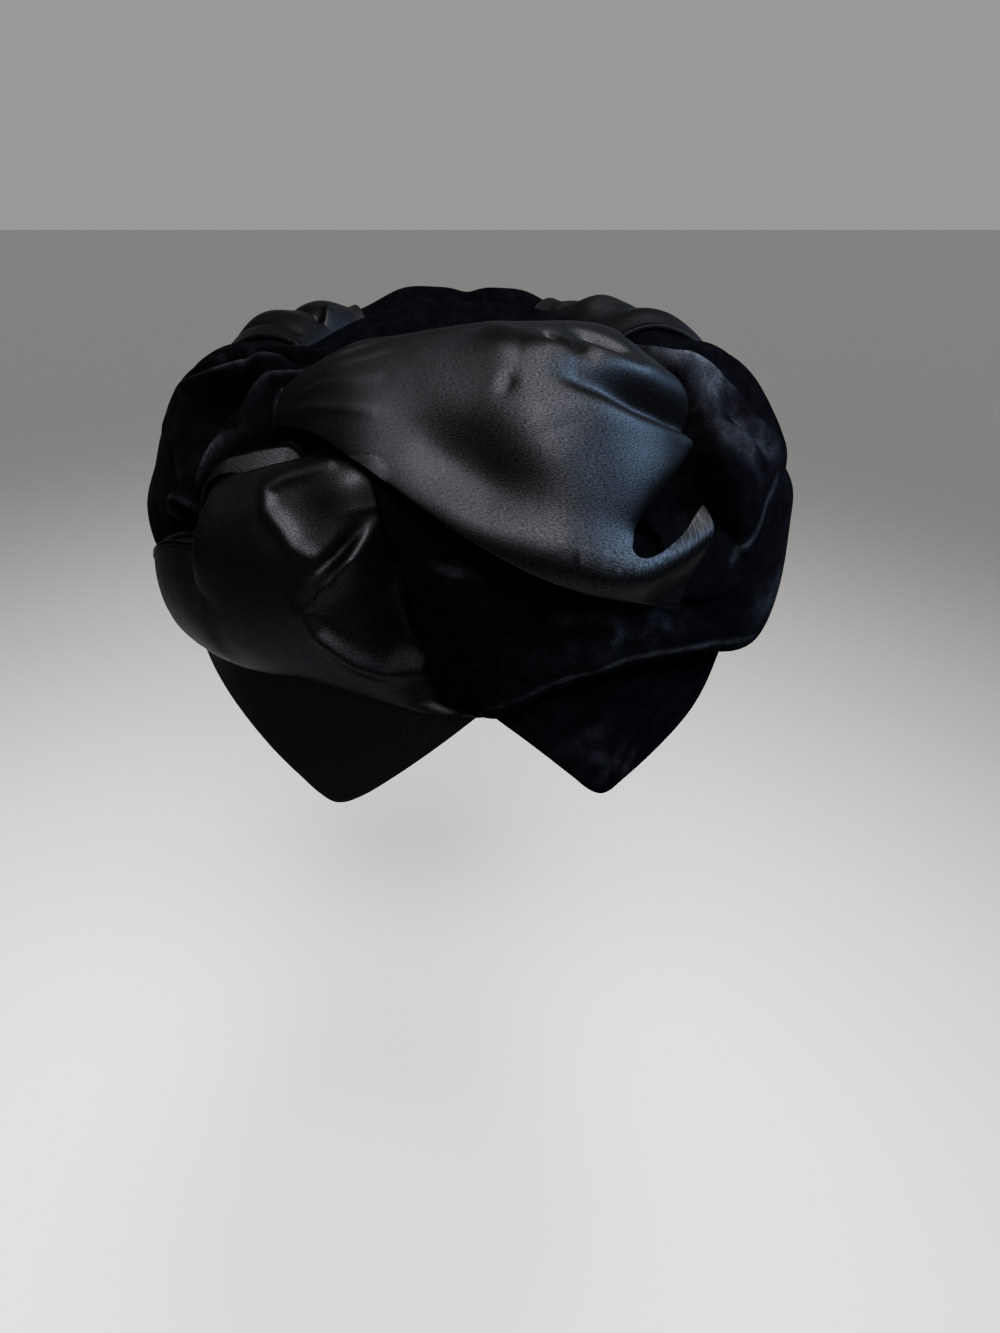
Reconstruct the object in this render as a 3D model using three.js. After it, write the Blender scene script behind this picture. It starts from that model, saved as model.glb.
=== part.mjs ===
// A draped satin and velvet bonnet hat, in millimetres, +Z up, front towards -Y.
// The origin is the middle of the head opening, level with the rim, where the hat sits on the head.
//
// Two surfaces carry every piece. The head form is the oval wall that the head fills.
// The ring form is a padded arch that runs round the head form, from the rim up and over.
// A place on the ring form is an azimuth (0 front, 90 the wearer's left, 180 back), a turn round
// the arch (-31 the rim, 0 the widest line, 90 the top) and a stand, the distance off the form.

import * as THREE from "three";
import { ParametricGeometry } from "three/addons/geometries/ParametricGeometry.js";
import { mergeVertices } from "three/addons/utils/BufferGeometryUtils.js";

// Head opening and crown
const HEAD_HALF_WIDTH = 77;
const HEAD_HALF_DEPTH = 97;
const CROWN_HEIGHT = 83;
const CROWN_WALL = 2;
const CROWN_FULLNESS = 0.85;
const CROWN_FOLD_RISE = 1.6;
const CROWN_FOLD_PITCH = 26;
const CROWN_FOLD_TOP_BIAS = 4;
const CROWN_SIDES = 40;
const CROWN_RINGS = 8;

// Arch of the ring form
const RING_SET_IN = 20;
const RING_HALF = 28;
const RING_MID_HEIGHT = 32;
const RING_UP_FRONT = 46;
const RING_UP_SIDE = 40;
const RING_DOWN = 62;

// Cloth
const SATIN_WALL = 1.3;
const VELVET_WALL = 1.6;
const EDGE_SHARPNESS = 0.6;
const FOLD_END_FADE = 0.15;
const FOLD_EDGE_HOLD = 2.5;
const FOLD_TIP_SHARE = 0.35;
const LAPPET_EASE = 0.4;
const LAPPET_FLARE = 0.05;
const LAPPET_ALONG_STEPS = 24;
const LAPPET_ACROSS_STEPS = 4;

// Length of one degree on the ring form, used to measure distances to folds
const MM_PER_AZIMUTH = 1.8;
const MM_PER_TURN = 0.75;

const SATIN = new THREE.MeshStandardMaterial({ color: 0x17171a, roughness: 0.36, metalness: 0 });
const VELVET = new THREE.MeshStandardMaterial({ color: 0x07070a, roughness: 0.95, metalness: 0 });

const { degToRad, clamp, lerp } = THREE.MathUtils;

// Sections of each draped band, one row for each, in order along the band.
// azimuth and lean place the section line, low and high are the turns of its two edges,
// lowStand and highStand how far those edges stand off, and puff how far it swells between them.
const SECTION_COLUMNS = ["azimuth", "lean", "low", "high", "lowStand", "highStand", "puff"];

const SATIN_DRAPE_SECTIONS = [
  [-22, 0, 50, 84, 4.4, 2.6, 0.4],
  [-17, 0, 43, 98, 5.4, 1.8, 1],
  [-8, 0, 30.5, 112, 7.2, 1, 2.6],
  [1, 0, 16.5, 124, 8.8, 0.6, 4.8],
  [9, 0, 6.5, 126, 9.4, 0.6, 6.4],
  [17, 0, 1, 124, 9.8, 1.2, 7],
  [23.5, -2, -3, 114, 10, 2.6, 6.5],
  [28.5, -5, 8, 100, 9.5, 4, 4],
];

const SATIN_WING_SECTIONS = [
  [-69, 0, -22, -8, 2.6, 4.4, 0.6],
  [-58, 0, -24, 0, -0.4, 4.2, 2],
  [-46, 0, -24, 12, -1.4, 3.4, 4],
  [-33, 0, -23, 28, -1.6, 3.2, 7],
  [-20, 0, -22, 44, -1.6, 2.6, 8],
  [-11, 0, -25, 43, -1.4, 1.6, 5.5],
  [-4, 0, -28, 38, -1, 0.5, 2.5],
  [3, 0, -29, 30, -0.6, 0, 1],
];

const VELVET_WING_SECTIONS = [
  [-5, -7, -24, 26, 3.2, 5.4, 1.6],
  [3, -4, -29, 28, 1.8, 3.8, 3],
  [12, 0, -23, 24, -1, 2, 4.5],
  [24, 0, -20.5, 13, -1.2, 0.5, 5],
  [36, 0, -22, 9, 0, -0.5, 6],
  [47, 0, -26, 11, 2.2, -0.5, 6],
  [58, 0, -29, 26, 2.6, -0.5, 5.5],
  [72, 0, -31, 32, 0.6, -0.5, 5.5],
  [90, 4, -31, 30, -1.9, -1, 4],
  [112, 12, -31, 28, -1.9, -1.5, 0.4],
];

const VELVET_SIDE_RIGHT_SECTIONS = [
  [27, 0, 17, 100, 2, 0.4, 0.6],
  [34, 0, -2, 110, 7.6, 0.4, 1.5],
  [44, 0, -2, 111, 7.8, 0, 1.5],
  [54, 0, 15, 111, 7.2, -0.4, 0.5],
  [66, 0, 24, 109, 6.6, -0.4, 0.2],
  [82, 6, 25, 108, 5, 0, 0.6],
  [98, 12, 22, 108, 3.4, 0.4, 1],
  [112, 16, 20, 108, 2, 0.4, 1],
  [119, 16, 20, 108, 1.6, 0.4, 0.6],
];

const VELVET_SIDE_LEFT_SECTIONS = [
  [-13, 0, 60, 100, -1, 0, 0.6],
  [-20, 0, 46, 108, -1, 0, 1],
  [-32, 0, 24, 110, -1.2, 0, 2],
  [-44, 0, 5, 110, -1.6, 0, 2.5],
  [-57, 0, -6, 109, -1.9, 0, 2.5],
  [-70, 4, -20, 108, -1.9, 0, 2.5],
  [-83, 8, -31, 108, -1.9, 0, 2.5],
  [-98, 12, -31, 108, -1.9, 0.4, 2],
  [-112, 16, -31, 108, -1.9, 0.4, 1],
  [-118, 16, -31, 108, -1.9, 0.4, 0.6],
];

const BACK_SATIN_SECTIONS = [
  [-26, 16, -30, 110, 1, 3.2, 3],
  [-15, 16, -31, 112, 0, 2.6, 5.5],
  [0, 16, -31, 113, -2.1, 1.6, 7],
  [15, 16, -31, 112, 0, 2.6, 5.5],
  [26, 16, -30, 110, 1, 3.2, 3],
];

const VELVET_BACK_SECTIONS = [
  [145, 16, -31, 112, -1.9, 0.4, 0.6],
  [155, 16, -31, 114, -1.9, 0.4, 2.5],
  [167, 16, -31, 116, -1.9, 0.4, 7.5],
  [180, 16, -31, 117, -1.9, 0.4, 9],
  [193, 16, -31, 116, -1.9, 0.4, 7.5],
  [205, 16, -31, 114, -1.9, 0.4, 2.5],
  [215, 16, -31, 112, -1.9, 0.4, 0.6],
];
const BACK_SATIN_AZIMUTH = 131;

// Flat pointed flaps: heights of the lower and upper edge at each azimuth.
const LAPPET_COLUMNS = ["azimuth", "lowHeight", "highHeight"];

const SATIN_LAPPET_SECTIONS = [
  [-60, 5, 12],
  [-48, -2, 13],
  [-34, -11, 13],
  [-24, -18.6, 13],
  [-20, -22.2, 13],
  [-17, -23.6, 13],
  [-13.5, -21, 13],
  [-8, -14, 12],
  [3, 1.5, 10],
];

const VELVET_LAPPET_SECTIONS = [
  [4.6, 1.5, 10],
  [10, -6.6, 12],
  [16, -16.5, 13],
  [19, -21.4, 13],
  [21.5, -22.8, 13],
  [25, -20.4, 13],
  [33, -14.6, 13],
  [44, -7, 13],
  [56, 4, 12],
];

// Folds: each row is a soft ridge, or a hollow where its rise is negative, between two places.
// Its columns are fromAzimuth, fromTurn, toAzimuth, toTurn, rise and spread.

const SATIN_DRAPE_FOLDS = [
  [13, 26, 34, 26, -8, 11],
  [8, 55, 9, 20, 1.5, 8],
  [14, 64, 32, 54, 2.5, 8],
  [10, 6, 31, 8, 2, 6],
];

const SATIN_WING_FOLDS = [
  [-17, 40, -20, 20, 2.5, 9],
  [-20, 20, -9, 5, 2.5, 8],
  [-12, 28, -9, 14, -3, 8],
  [-11, 2, -3, -18, 2.5, 7],
  [-34, -4, -50, -8, -1.5, 10],
];

const VELVET_WING_FOLDS = [
  [8, -10, 24, -4, 1.5, 7],
  [20, -10, 34, 4, 1.8, 6],
  [62, 10, 82, 6, 2, 9],
];

const VELVET_SIDE_RIGHT_FOLDS = [
  [34, 88, 70, 62, 2, 8],
  [34, 66, 72, 42, -2.5, 7],
  [38, 34, 62, 34, 1, 8],
  [74, 100, 104, 34, 1.5, 9],
];

const VELVET_SIDE_LEFT_FOLDS = [
  [-17, 68, -42, 24, 3, 6],
  [-26, 72, -58, 20, -4, 9],
  [-24, 92, -70, 14, 2.5, 6],
  [-40, 100, -84, 30, -3, 8],
  [-60, -2, -98, -4, 6, 14],
];

const BACK_SATIN_FOLDS = [
  [-16, -10, -6, 104, 2, 8],
  [-6, -10, 3, 104, -2.5, 7],
  [5, -10, 14, 104, 2, 8],
];

const VELVET_BACK_FOLDS = [
  [160, -10, 170, 104, 2, 9],
  [172, -10, 183, 104, -2.5, 8],
  [186, -10, 198, 104, 2, 9],
];

// Reads a table's columns along its rows, as a smooth curve from the first row (0) to the last (1).
function smoothTable(columns, rows) {
  const places = rows.map((_, row) => row / (rows.length - 1));
  const curve = new THREE.CubicInterpolant(places, rows.flat(), columns.length);
  return (along) => {
    const values = curve.evaluate(clamp(along, 0, 1));
    return Object.fromEntries(columns.map((name, i) => [name, values[i]]));
  };
}

// Radius of the crown's outer wall at the rim.
function headRadius(azimuth) {
  const a = degToRad(azimuth);
  return 1 / Math.hypot(Math.sin(a) / HEAD_HALF_WIDTH, Math.cos(a) / HEAD_HALF_DEPTH) + CROWN_WALL;
}

function around(azimuth, radius, height, target) {
  const a = degToRad(azimuth);
  return target.set(radius * Math.sin(a), -radius * Math.cos(a), height);
}

function ringPoint(azimuth, turn, stand, target) {
  const t = degToRad(turn);
  const sideways = Math.sin(degToRad(azimuth)) ** 2;
  const reach = turn < 0 ? RING_DOWN : lerp(RING_UP_FRONT, RING_UP_SIDE, sideways);
  const outward = Math.cos(t) / RING_HALF;
  const upward = Math.sin(t) / reach;
  const steepness = Math.hypot(outward, upward);
  const radius = headRadius(azimuth) - RING_SET_IN + RING_HALF * Math.cos(t);
  const height = RING_MID_HEIGHT + reach * Math.sin(t);
  return around(
    azimuth,
    radius + (stand * outward) / steepness,
    height + (stand * upward) / steepness,
    target,
  );
}

// Rise of one fold at a place: full along its line, fading at both ends and to either side.
function foldRise(fold, azimuth, turn) {
  const [fromAzimuth, fromTurn, toAzimuth, toTurn, rise, spread] = fold;
  const lineX = (toAzimuth - fromAzimuth) * MM_PER_AZIMUTH;
  const lineY = (toTurn - fromTurn) * MM_PER_TURN;
  const x = (azimuth - fromAzimuth) * MM_PER_AZIMUTH;
  const y = (turn - fromTurn) * MM_PER_TURN;
  const share = clamp((x * lineX + y * lineY) / (lineX ** 2 + lineY ** 2), 0, 1);
  const distance = Math.hypot(x - share * lineX, y - share * lineY);
  const fade = lerp(FOLD_TIP_SHARE, 1, Math.sin(Math.PI * share));
  return rise * fade * Math.exp(-((distance / spread) ** 2));
}

// The face of a draped band: along runs down its length, across from its low edge to its high edge.
function bandFace({ sections, folds, peak = 0.5, azimuthShift = 0 }) {
  const sectionAt = smoothTable(SECTION_COLUMNS, sections);
  const skew = Math.log(0.5) / Math.log(peak);
  return (along, across, target) => {
    const row = sectionAt(along);
    const side = clamp(across, 0, 1);
    const azimuth = row.azimuth + row.lean * (side - 0.5);
    const turn = lerp(row.low, row.high, side);
    const swell = Math.sin(Math.PI * side ** skew) ** EDGE_SHARPNESS;
    const folding = folds.reduce((sum, fold) => sum + foldRise(fold, azimuth, turn), 0);
    const toEnd = Math.min(along, 1 - along);
    const held = clamp(toEnd / FOLD_END_FADE, 0, 1) * Math.min(1, FOLD_EDGE_HOLD * swell);
    const stand = lerp(row.lowStand, row.highStand, side) + row.puff * swell + folding * held;
    return ringPoint(azimuth + azimuthShift, turn, stand, target);
  };
}

// The face of a lappet, which hangs close to the head and flares a little towards its point.
function lappetFace({ sections, wall }) {
  const sectionAt = smoothTable(LAPPET_COLUMNS, sections);
  return (along, across, target) => {
    const row = sectionAt(along);
    const height = lerp(row.lowHeight, row.highHeight, clamp(across, 0, 1));
    const flare = LAPPET_FLARE * Math.max(0, -height);
    const radius = headRadius(row.azimuth) + LAPPET_EASE + wall + flare;
    return around(row.azimuth, radius, height, target);
  };
}

// Joins a surface's shared points and drops faces with no area, so that it is one closed skin.
function closedSkin(geometry) {
  geometry.deleteAttribute("normal");
  geometry.deleteAttribute("uv");
  const joined = mergeVertices(geometry, 1e-4);
  const corners = joined.index.array;
  const kept = [];
  for (let i = 0; i < corners.length; i += 3) {
    const [a, b, c] = [corners[i], corners[i + 1], corners[i + 2]];
    if (a !== b && b !== c && c !== a) kept.push(a, b, c);
  }
  joined.setIndex(kept);
  joined.computeVertexNormals();
  return joined;
}

// Gives a face its wall: out across the face, back along the under side, with both ends closed.
function clothWall(face, wall, alongSteps, acrossSteps) {
  const loopSteps = 2 * (acrossSteps + 1);
  const rowSteps = alongSteps + 2;
  const reach = 0.5 / alongSteps;
  const [before, after, below, above] = Array.from({ length: 4 }, () => new THREE.Vector3());
  const inward = (along, across) => {
    face(along - reach, across, before);
    face(along + reach, across, after);
    face(along, Math.max(across - reach, 0), below);
    face(along, Math.min(across + reach, 1), above);
    return above.sub(below).cross(after.sub(before)).normalize();
  };
  const place = (u, v, target) => {
    const step = (loopSteps - Math.round(u * loopSteps)) % loopSteps;
    const row = Math.round(v * rowSteps);
    const onFace = step <= acrossSteps;
    const across = (onFace ? step : loopSteps - 1 - step) / acrossSteps;
    const along = clamp((row - 1) / alongSteps, 0, 1);
    const atEnd = row === 0 || row === rowSteps;
    const depth = atEnd ? wall / 2 : onFace ? 0 : wall;
    const offset = inward(along, across).multiplyScalar(depth);
    face(along, across, target).add(offset);
  };
  return closedSkin(new ParametricGeometry(place, loopSteps, rowSteps));
}

// The velvet crown: an oval cap with soft folds that run from side to side over its top.
function crownGeometry() {
  const dome = (shrink, height, count) =>
    Array.from({ length: count + 1 }, (_, i) => {
      const climb = (Math.PI / 2) * (1 - i / count);
      const radius = Math.cos(climb) ** CROWN_FULLNESS;
      return new THREE.Vector2(i === 0 ? 0 : radius * shrink, Math.sin(climb) * height);
    });
  const outerHalf = HEAD_HALF_WIDTH + CROWN_WALL;
  const outside = dome(1, CROWN_HEIGHT, CROWN_RINGS);
  const inside = dome(HEAD_HALF_WIDTH / outerHalf, CROWN_HEIGHT - CROWN_WALL, CROWN_RINGS);
  const profile = [...inside, ...outside.reverse()];
  const cap = new THREE.LatheGeometry(profile, CROWN_SIDES);
  cap.rotateX(Math.PI / 2);
  cap.scale(outerHalf, HEAD_HALF_DEPTH + CROWN_WALL, 1);
  const points = cap.getAttribute("position");
  for (let i = 0; i < points.count; i++) {
    const height = points.getZ(i);
    const nearTop = clamp(height / CROWN_HEIGHT, 0, 1) ** CROWN_FOLD_TOP_BIAS;
    const wave = Math.sin((2 * Math.PI * points.getY(i)) / CROWN_FOLD_PITCH);
    points.setZ(i, height + CROWN_FOLD_RISE * nearTop * wave);
  }
  return closedSkin(cap);
}

function piece(name, geometry, material) {
  const mesh = new THREE.Mesh(geometry, material);
  mesh.name = name;
  return mesh;
}

function band(name, cloth, wall, alongSteps, acrossSteps, shape) {
  return piece(name, clothWall(bandFace(shape), wall, alongSteps, acrossSteps), cloth);
}

function lappet(name, cloth, wall, sections) {
  const face = lappetFace({ sections, wall });
  return piece(name, clothWall(face, wall, LAPPET_ALONG_STEPS, LAPPET_ACROSS_STEPS), cloth);
}

const hat = new THREE.Group();
hat.add(piece("crown", crownGeometry(), VELVET));
hat.add(lappet("satin_lappet", SATIN, SATIN_WALL, SATIN_LAPPET_SECTIONS));
hat.add(lappet("velvet_lappet", VELVET, VELVET_WALL, VELVET_LAPPET_SECTIONS));
hat.add(
  band("satin_wing", SATIN, SATIN_WALL, 25, 10, {
    sections: SATIN_WING_SECTIONS,
    folds: SATIN_WING_FOLDS,
    peak: 0.45,
  }),
  band("velvet_wing", VELVET, VELVET_WALL, 28, 8, {
    sections: VELVET_WING_SECTIONS,
    folds: VELVET_WING_FOLDS,
    peak: 0.35,
  }),
  band("velvet_side_left", VELVET, VELVET_WALL, 26, 11, {
    sections: [...VELVET_SIDE_LEFT_SECTIONS].reverse(),
    folds: VELVET_SIDE_LEFT_FOLDS,
  }),
  band("velvet_side_right", VELVET, VELVET_WALL, 26, 11, {
    sections: VELVET_SIDE_RIGHT_SECTIONS,
    folds: VELVET_SIDE_RIGHT_FOLDS,
  }),
  band("velvet_back", VELVET, VELVET_WALL, 18, 12, {
    sections: VELVET_BACK_SECTIONS,
    folds: VELVET_BACK_FOLDS,
  }),
);
for (const [name, azimuthShift] of [
  ["satin_back_right", BACK_SATIN_AZIMUTH],
  ["satin_back_left", -BACK_SATIN_AZIMUTH],
]) {
  const shape = { sections: BACK_SATIN_SECTIONS, folds: BACK_SATIN_FOLDS, azimuthShift };
  hat.add(band(name, SATIN, SATIN_WALL, 18, 12, shape));
}
hat.add(
  band("satin_drape", SATIN, SATIN_WALL, 26, 13, {
    sections: SATIN_DRAPE_SECTIONS,
    folds: SATIN_DRAPE_FOLDS,
    peak: 0.42,
  }),
);

export default hat;
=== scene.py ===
import math

import bmesh
import bpy
import numpy as np
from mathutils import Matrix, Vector, noise


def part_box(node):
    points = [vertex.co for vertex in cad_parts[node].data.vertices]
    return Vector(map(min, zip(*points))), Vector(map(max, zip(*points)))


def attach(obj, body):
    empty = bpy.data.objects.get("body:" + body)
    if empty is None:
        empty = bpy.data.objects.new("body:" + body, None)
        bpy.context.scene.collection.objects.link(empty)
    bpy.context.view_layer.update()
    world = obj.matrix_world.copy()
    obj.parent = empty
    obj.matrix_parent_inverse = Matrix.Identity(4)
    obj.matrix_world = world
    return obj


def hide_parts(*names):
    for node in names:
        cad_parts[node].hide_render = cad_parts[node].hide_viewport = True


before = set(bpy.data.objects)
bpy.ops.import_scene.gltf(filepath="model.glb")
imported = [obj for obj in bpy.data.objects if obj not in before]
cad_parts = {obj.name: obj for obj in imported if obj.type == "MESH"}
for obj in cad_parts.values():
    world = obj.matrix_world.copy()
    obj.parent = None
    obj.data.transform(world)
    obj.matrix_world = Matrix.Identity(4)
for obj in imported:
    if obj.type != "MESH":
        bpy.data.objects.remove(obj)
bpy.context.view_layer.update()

# Camera
# It looks down at the front of the hat from a little above it and right of its middle.
# Its lens is worked out from a focal length and a picture height in pixels.
PICTURE_HEIGHT_PX = 1333
FOCAL_PX = 1150
SENSOR_WIDTH = 36
CAMERA_PLACE = (0.010, -0.340, 0.108)
CAMERA_PITCH = 21.5
CAMERA_NEAR = 0.01

camera_data = bpy.data.cameras.new("camera")
camera_data.sensor_width = SENSOR_WIDTH
camera_data.lens = SENSOR_WIDTH * FOCAL_PX / PICTURE_HEIGHT_PX
camera_data.clip_start = CAMERA_NEAR
camera = bpy.data.objects.new("camera", camera_data)
camera.location = CAMERA_PLACE
camera.rotation_euler = (math.radians(90 - CAMERA_PITCH), 0, 0)
bpy.context.collection.objects.link(camera)
bpy.context.scene.camera = camera

# Crown
# The velvet cap inside the ring of draped cloth, an oval dome shaped with steam over a form.
# Its velvet is eased into soft folds that run from side to side over the top.
MM = 0.001
_, CROWN_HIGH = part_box("crown")
CROWN_HALF_WIDTH = CROWN_HIGH[0] / MM
CROWN_HALF_DEPTH = CROWN_HIGH[1] / MM
CROWN_HEIGHT = 83
CROWN_FULLNESS = 0.85
CROWN_FOLD_PITCH = 26
CROWN_FOLD_RISE = 1.6
CROWN_FOLD_EASE = 5
CROWN_EASE_GRAIN = 60
CROWN_EASE_SEED = 2.0
CROWN_WALL = 2.0
RIM_TOLERANCE = 1e-4


def set_inputs(node, values):
    for socket, value in values.items():
        node.inputs[socket].default_value = value
    return node


def times(tree, value, factor, plus=None):
    """A value times a factor, which is a number or a socket, with a third value added if one is given."""
    node = tree.nodes.new("ShaderNodeMath")
    node.operation = "MULTIPLY" if plus is None else "MULTIPLY_ADD"
    for term, socket in zip((value, factor, plus), node.inputs):
        if isinstance(term, bpy.types.NodeSocket):
            tree.links.new(term, socket)
        elif term is not None:
            socket.default_value = term
    return node.outputs[0]


def velvet_pile():
    """Velvet's pile: fine tufts, a slanted grain, and patches where the pile is crushed."""
    group = bpy.data.node_groups.new("velvet pile", "ShaderNodeTree")
    face = group.interface
    face.new_socket("Vector", in_out="INPUT", socket_type="NodeSocketVector")
    for part in ("Tuft", "Grain", "Patch"):
        face.new_socket(part + " Scale", in_out="INPUT", socket_type="NodeSocketFloat")
    for part in ("Grain", "Crush", "Height"):
        face.new_socket(part, in_out="OUTPUT", socket_type="NodeSocketFloat")
    nodes, links = group.nodes, group.links
    start = nodes.new("NodeGroupInput")
    end = nodes.new("NodeGroupOutput")
    slant = set_inputs(
        nodes.new("ShaderNodeMapping"), {"Rotation": (0.3, 0.5, 0.4), "Scale": (1.0, 0.22, 1.0)}
    )
    links.new(start.outputs["Vector"], slant.inputs["Vector"])
    noises = {}
    for part, way in {"Tuft": start, "Grain": slant, "Patch": slant}.items():
        noises[part] = set_inputs(nodes.new("ShaderNodeTexNoise"), {"Detail": 4, "Distortion": 0.3})
        links.new(way.outputs["Vector"], noises[part].inputs["Vector"])
        links.new(start.outputs[part + " Scale"], noises[part].inputs["Scale"])
    grain = set_inputs(
        nodes.new("ShaderNodeMapRange"), {"From Min": 0.34, "From Max": 0.66, "To Min": 0.4}
    )
    patches = set_inputs(nodes.new("ShaderNodeMapRange"), {"From Min": 0.40, "From Max": 0.68})
    links.new(noises["Grain"].outputs["Fac"], grain.inputs["Value"])
    links.new(noises["Patch"].outputs["Fac"], patches.inputs["Value"])
    crush = times(group, grain.outputs["Result"], patches.outputs["Result"])
    links.new(grain.outputs["Result"], end.inputs["Grain"])
    links.new(crush, end.inputs["Crush"])
    links.new(noises["Tuft"].outputs["Fac"], end.inputs["Height"])
    return group


VELVET_PILE = velvet_pile()
# Velvet's colour runs from black towards VELVET_LIT, a painted sheen colour that is also used faintly for
# random crushed patches.
VELVET_BLACK = (0.0005, 0.0005, 0.0007, 1)
VELVET_LIT = (0.034, 0.036, 0.043, 1)
VELVET_SHEEN = (0.82, 0.87, 1.0, 1)
CRUSH_SHARE = 0.016
STREAK_SHARE = 0.6


def black_velvet():
    """Black pile whose colour is lightened by painted sheen from a per-vertex attribute, and faintly in
    random crushed patches.
    """
    material = bpy.data.materials.new("black velvet")
    material.use_nodes = True
    tree = material.node_tree
    nodes, links = tree.nodes, tree.links
    shader = set_inputs(nodes["Principled BSDF"], {
        "Roughness": 0.9,
        "Specular IOR Level": 0.0,
        "Sheen Weight": 0.002,
        "Sheen Roughness": 0.32,
        "Sheen Tint": VELVET_SHEEN,
    })
    place = nodes.new("ShaderNodeTexCoord")
    pile = nodes.new("ShaderNodeGroup")
    pile.node_tree = VELVET_PILE
    set_inputs(pile, {"Tuft Scale": 1500, "Grain Scale": 2200, "Patch Scale": 260})
    links.new(place.outputs["Object"], pile.inputs["Vector"])
    # The per-vertex painted sheen, which lightens the colour on fold crests and in strokes.
    painted_sheen = nodes.new("ShaderNodeAttribute")
    painted_sheen.attribute_name = "painted_sheen"
    evenly = times(tree, pile.outputs["Grain"], 1 - STREAK_SHARE)
    streaks = times(tree, pile.outputs["Crush"], STREAK_SHARE, evenly)
    lit = times(tree, painted_sheen.outputs["Fac"], streaks)
    lightness = times(tree, pile.outputs["Crush"], CRUSH_SHARE, lit)
    colours = nodes.new("ShaderNodeMix")
    colours.data_type = "RGBA"
    set_inputs(colours, {"A": VELVET_BLACK, "B": VELVET_LIT})
    links.new(lightness, colours.inputs["Factor"])
    links.new(colours.outputs["Result"], shader.inputs["Base Color"])
    bump = set_inputs(nodes.new("ShaderNodeBump"), {"Strength": 0.6, "Distance": 0.4 * MM})
    links.new(pile.outputs["Height"], bump.inputs["Height"])
    links.new(bump.outputs["Normal"], shader.inputs["Normal"])
    return material


VELVET = black_velvet()
HEM_ROUNDING = 0.3
HEM_ANGLE = 60


def show_cloth(name, mesh, cloth):
    """Shows a single-faced cloth as a wall of its real thickness, in place of its solid.
    A cloth is a material, a slot (not used) and a wall in mm."""
    material, slot, wall = cloth
    for face in mesh.polygons:
        face.use_smooth = True
    mesh.materials.append(material)
    piece = bpy.data.objects.new(name + "_cloth", mesh)
    bpy.context.collection.objects.link(piece)
    thickness = piece.modifiers.new("thickness", "SOLIDIFY")
    thickness.thickness = wall * MM
    thickness.offset = -1
    hem = piece.modifiers.new("hem", "BEVEL")
    hem.width = HEM_ROUNDING * wall * MM
    hem.segments = 2
    hem.limit_method = "ANGLE"
    hem.angle_limit = math.radians(HEM_ANGLE)
    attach(piece, "root")
    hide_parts(name)


def crown_mesh():
    bm = bmesh.new()
    bmesh.ops.create_uvsphere(bm, u_segments=96, v_segments=64, radius=1)
    below = [v for v in bm.verts if v.co.z < -RIM_TOLERANCE]
    bmesh.ops.delete(bm, geom=below, context="VERTS")
    for vert in bm.verts:
        across = math.hypot(vert.co.x, vert.co.y)
        fuller = across ** (CROWN_FULLNESS - 1) if across > 0 else 1
        x = vert.co.x * fuller * CROWN_HALF_WIDTH
        y = vert.co.y * fuller * CROWN_HALF_DEPTH
        near_top = vert.co.z ** 4
        eased_at = Vector((x / CROWN_EASE_GRAIN, y / CROWN_EASE_GRAIN, CROWN_EASE_SEED))
        ease = CROWN_FOLD_EASE * noise.noise(eased_at)
        wave = math.sin(2 * math.pi * (y + ease) / CROWN_FOLD_PITCH)
        z = vert.co.z * CROWN_HEIGHT + CROWN_FOLD_RISE * near_top * wave
        vert.co = Vector((x, y, z)) * MM
    bmesh.ops.recalc_face_normals(bm, faces=bm.faces)
    mesh = bpy.data.meshes.new("crown_cloth")
    bm.to_mesh(mesh)
    bm.free()
    return mesh


show_cloth("crown", crown_mesh(), (VELVET, "velvet", CROWN_WALL))

# Lappets
# Two flat pointed flaps that hang below the rim at the front, one satin and one velvet.
# Each is a faced piece with a turned hem, sewn in under the wing above it.
SATIN_WALL = 1.3
VELVET_WALL = 1.6
LAPPET_EASE = 0.4
LAPPET_FLARE = 0.05
LAPPET_RIPPLES = 11
LAPPET_RIPPLE_FADE = 15


def satin_weave():
    """Satin's long floats: fine threads along the cloth, with slubs that vary the shine."""
    group = bpy.data.node_groups.new("satin weave", "ShaderNodeTree")
    face = group.interface
    face.new_socket("Vector", in_out="INPUT", socket_type="NodeSocketVector")
    face.new_socket("Thread Scale", in_out="INPUT", socket_type="NodeSocketFloat")
    for part in ("Slub", "Float", "Height"):
        face.new_socket(part, in_out="OUTPUT", socket_type="NodeSocketFloat")
    nodes, links = group.nodes, group.links
    start = nodes.new("NodeGroupInput")
    end = nodes.new("NodeGroupOutput")
    stretch = set_inputs(nodes.new("ShaderNodeMapping"), {"Scale": (0.55, 1.0, 1.0)})
    threads = set_inputs(nodes.new("ShaderNodeTexNoise"), {"Detail": 2})
    slubs = set_inputs(nodes.new("ShaderNodeTexNoise"), {"Scale": 240, "Detail": 3})
    links.new(start.outputs["Vector"], stretch.inputs["Vector"])
    links.new(stretch.outputs["Vector"], threads.inputs["Vector"])
    links.new(start.outputs["Thread Scale"], threads.inputs["Scale"])
    links.new(stretch.outputs["Vector"], slubs.inputs["Vector"])
    floats = set_inputs(nodes.new("ShaderNodeMapRange"), {"From Min": 0.36, "From Max": 0.64})
    links.new(threads.outputs["Fac"], floats.inputs["Value"])
    links.new(floats.outputs["Result"], end.inputs["Float"])
    links.new(slubs.outputs["Fac"], end.inputs["Slub"])
    links.new(threads.outputs["Fac"], end.inputs["Height"])
    return group


SATIN_WEAVE = satin_weave()
SATIN_THREAD_DARK = (0.0039, 0.0040, 0.0045, 1)
SATIN_THREAD_LIGHT = (0.0112, 0.0115, 0.0126, 1)
SATIN_EDGE_TINT = (0.5, 0.5, 0.5, 1)


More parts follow.
